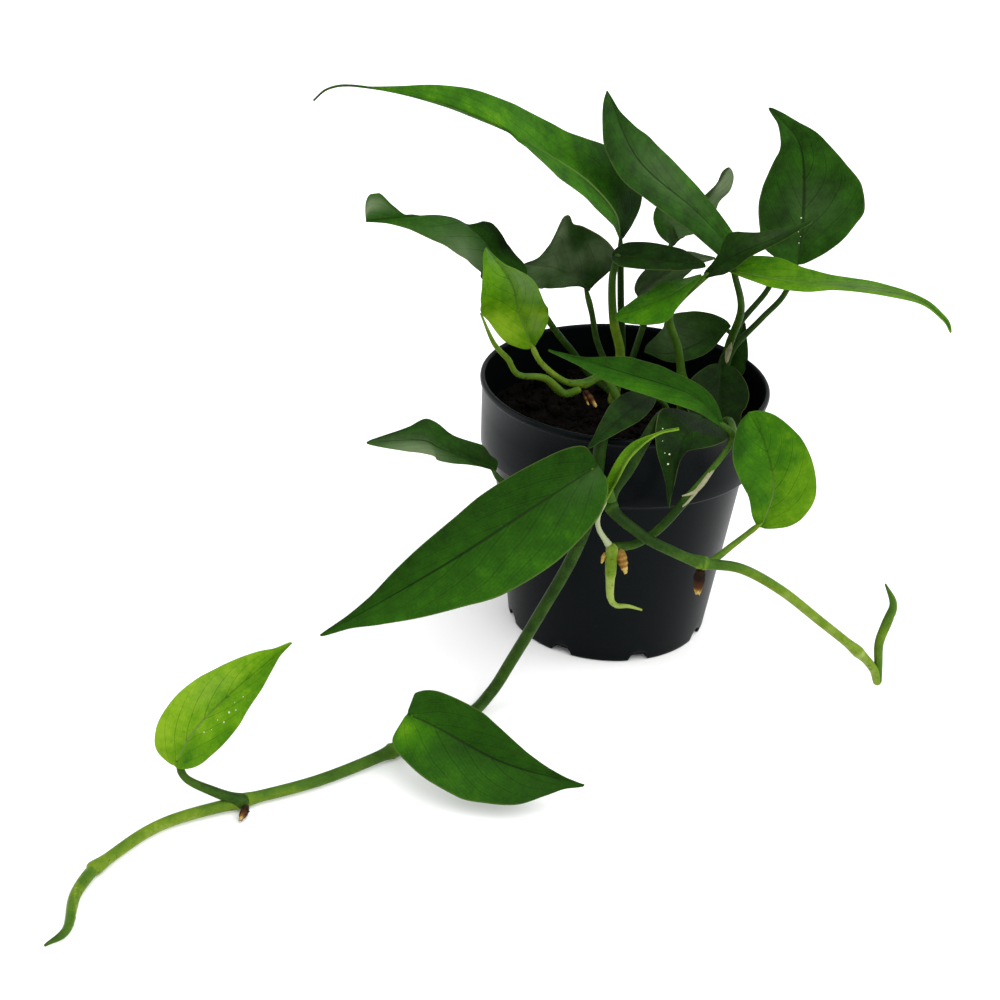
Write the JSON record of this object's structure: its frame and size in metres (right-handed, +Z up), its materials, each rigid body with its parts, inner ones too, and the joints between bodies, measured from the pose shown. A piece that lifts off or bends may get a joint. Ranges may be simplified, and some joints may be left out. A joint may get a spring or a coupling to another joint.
{
  "type": "potted trailing pothos",
  "caption": "Young trailing pothos vine with lance-shaped leaves in a round black grower's pot, its stems hanging over the rim and running out along the floor.",
  "frame": {"origin": "middle of the pot's foot, on the floor", "axes": "+Z up, -Y towards the viewer of the picture, +X to the viewer's right"},
  "size_m": [0.3141, 0.2944, 0.2381],
  "materials": {
    "pot": "satin",
    "soil": "rough",
    "stem": "satin",
    "leaf_young": "satin",
    "leaf_green": "satin",
    "leaf_old": "satin",
    "leaf_grey": "satin",
    "shoot": "satin",
    "root_nub": "rough",
    "sheath": "dry"
  },
  "bodies": {
    "root": {"pot": "pot", "soil": "soil", "stem_a_trailing": "stem", "stem_b_front": "stem", "stem_c_right": "stem", "stem_d_left": "stem", "stem_e_crown": "stem", "stem_f_crown": "stem", "stem_g_crown": "stem", "blade_01_tall_left": "leaf_young", "blade_07_young_left": "leaf_young", "blade_09_centre": "leaf_young", "blade_11_long_right": "leaf_young", "blade_16_rolled_front": "leaf_young", "blade_19_round_right": "leaf_young", "blade_21_young_front": "leaf_young", "blade_05_left": "leaf_green", "blade_10_over_front": "leaf_green", "blade_17_large_front": "leaf_green", "blade_20_on_floor": "leaf_green", "blade_02_upper_middle": "leaf_old", "blade_03_upper_right": "leaf_old", "blade_08_right_middle": "leaf_old", "blade_12_right_inside": "leaf_old", "blade_13_right_back": "leaf_old", "blade_14_front_inside": "leaf_old", "blade_15_hanging_front": "leaf_old", "blade_18_left_rim": "leaf_old", "blade_22_centre_flat": "leaf_old", "blade_24_right_edge": "leaf_old", "blade_04_small_back": "leaf_grey", "blade_06_left_middle": "leaf_grey", "blade_23_back_grey": "leaf_grey", "shoot_a": "shoot", "shoot_b": "shoot", "shoot_c": "shoot", "shoot_d": "shoot", "root_nub_a": "root_nub", "root_nub_b": "root_nub", "root_nub_c": "root_nub", "root_nub_d": "root_nub", "sheath_c": "sheath", "sheath_g": "sheath"}
  },
  "joints": []
}
